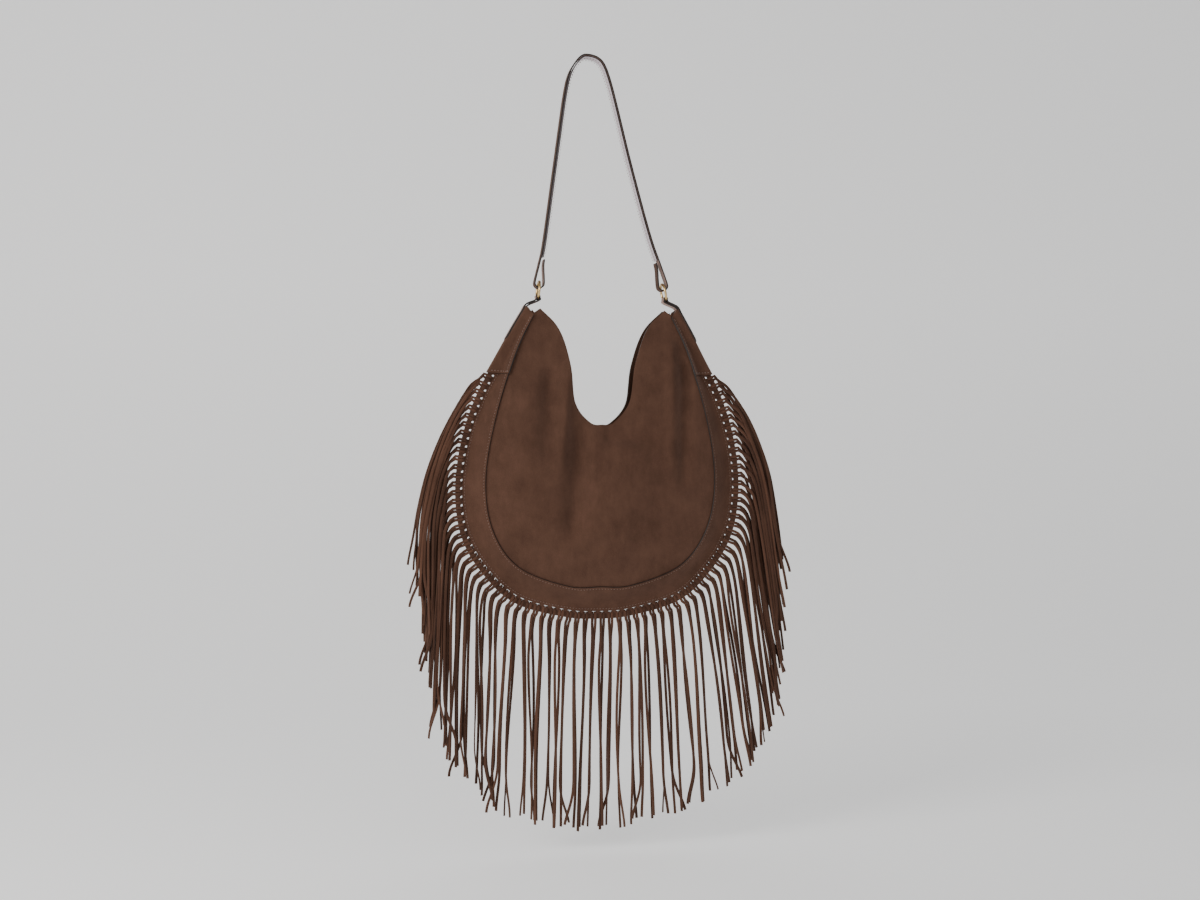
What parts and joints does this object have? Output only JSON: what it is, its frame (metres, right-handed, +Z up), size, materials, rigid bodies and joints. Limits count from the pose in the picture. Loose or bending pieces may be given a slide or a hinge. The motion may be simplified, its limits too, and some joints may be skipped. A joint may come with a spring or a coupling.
{
  "type": "fringed suede shoulder bag",
  "caption": "Slouchy suede shoulder bag hung by its strap, with a scooped mouth, brass rings and a long laced fringe round its edge.",
  "frame": {"origin": "the underside of the strap's highest point, where a hook or a hand carries the bag", "axes": "+Z up, the front of the bag faces -Y, +X to the right as seen from the front"},
  "size_m": [0.4691, 0.056, 0.9617],
  "materials": {
    "suede": "chocolate brown suede with a short nap",
    "suede_thong": "narrow cut thongs of the same suede",
    "strap_leather": "brown leather with dark painted edges and two rows of stitching",
    "tab_leather": "brown leather with dark painted edges",
    "strap_lining": "pale grey-mauve lining leather",
    "brass": "polished warm brass wire"
  },
  "bodies": {
    "strap": {"strap_outer": "strap_leather", "strap_lining": "strap_lining"},
    "left_ring": {"left_ring": "brass"},
    "right_ring": {"right_ring": "brass"},
    "bag": {"left_tab": "tab_leather", "right_tab": "tab_leather", "left_yoke": "suede", "right_yoke": "suede", "front_panel": "suede", "back_panel": "suede", "front_band": "suede", "back_band": "suede", "left_thongs_01": "suede_thong", "left_thongs_02": "suede_thong", "left_thongs_03": "suede_thong", "left_thongs_04": "suede_thong", "left_thongs_05": "suede_thong", "left_thongs_06": "suede_thong", "left_thongs_07": "suede_thong", "left_thongs_08": "suede_thong", "left_thongs_09": "suede_thong", "left_thongs_10": "suede_thong", "left_thongs_11": "suede_thong", "left_thongs_12": "suede_thong", "left_thongs_13": "suede_thong", "left_thongs_14": "suede_thong", "left_thongs_15": "suede_thong", "left_thongs_16": "suede_thong", "left_thongs_17": "suede_thong", "left_thongs_18": "suede_thong", "left_thongs_19": "suede_thong", "left_thongs_20": "suede_thong", "right_thongs_01": "suede_thong", "right_thongs_02": "suede_thong", "right_thongs_03": "suede_thong", "right_thongs_04": "suede_thong", "right_thongs_05": "suede_thong", "right_thongs_06": "suede_thong", "right_thongs_07": "suede_thong", "right_thongs_08": "suede_thong", "right_thongs_09": "suede_thong", "right_thongs_10": "suede_thong", "right_thongs_11": "suede_thong", "right_thongs_12": "suede_thong", "right_thongs_13": "suede_thong", "right_thongs_14": "suede_thong", "right_thongs_15": "suede_thong", "right_thongs_16": "suede_thong", "right_thongs_17": "suede_thong", "right_thongs_18": "suede_thong", "right_thongs_19": "suede_thong", "right_thongs_20": "suede_thong"}
  },
  "joints": [
    {"name": "left_ring_turn", "type": "hinge", "parent": "strap", "child": "left_ring", "pos_m": [-0.0625, 0, -0.2895], "axis": [0.9945, 0, -0.1045], "continuous": true},
    {"name": "right_ring_turn", "type": "hinge", "parent": "strap", "child": "right_ring", "pos_m": [0.097, 0, -0.2895], "axis": [0.9781, 0, 0.2079], "continuous": true},
    {"name": "bag_swing", "type": "hinge", "parent": "strap", "child": "bag", "pos_m": [0.018, 0, -0.2895], "axis": [1, 0, 0], "range_deg": [-35, 35]}
  ]
}
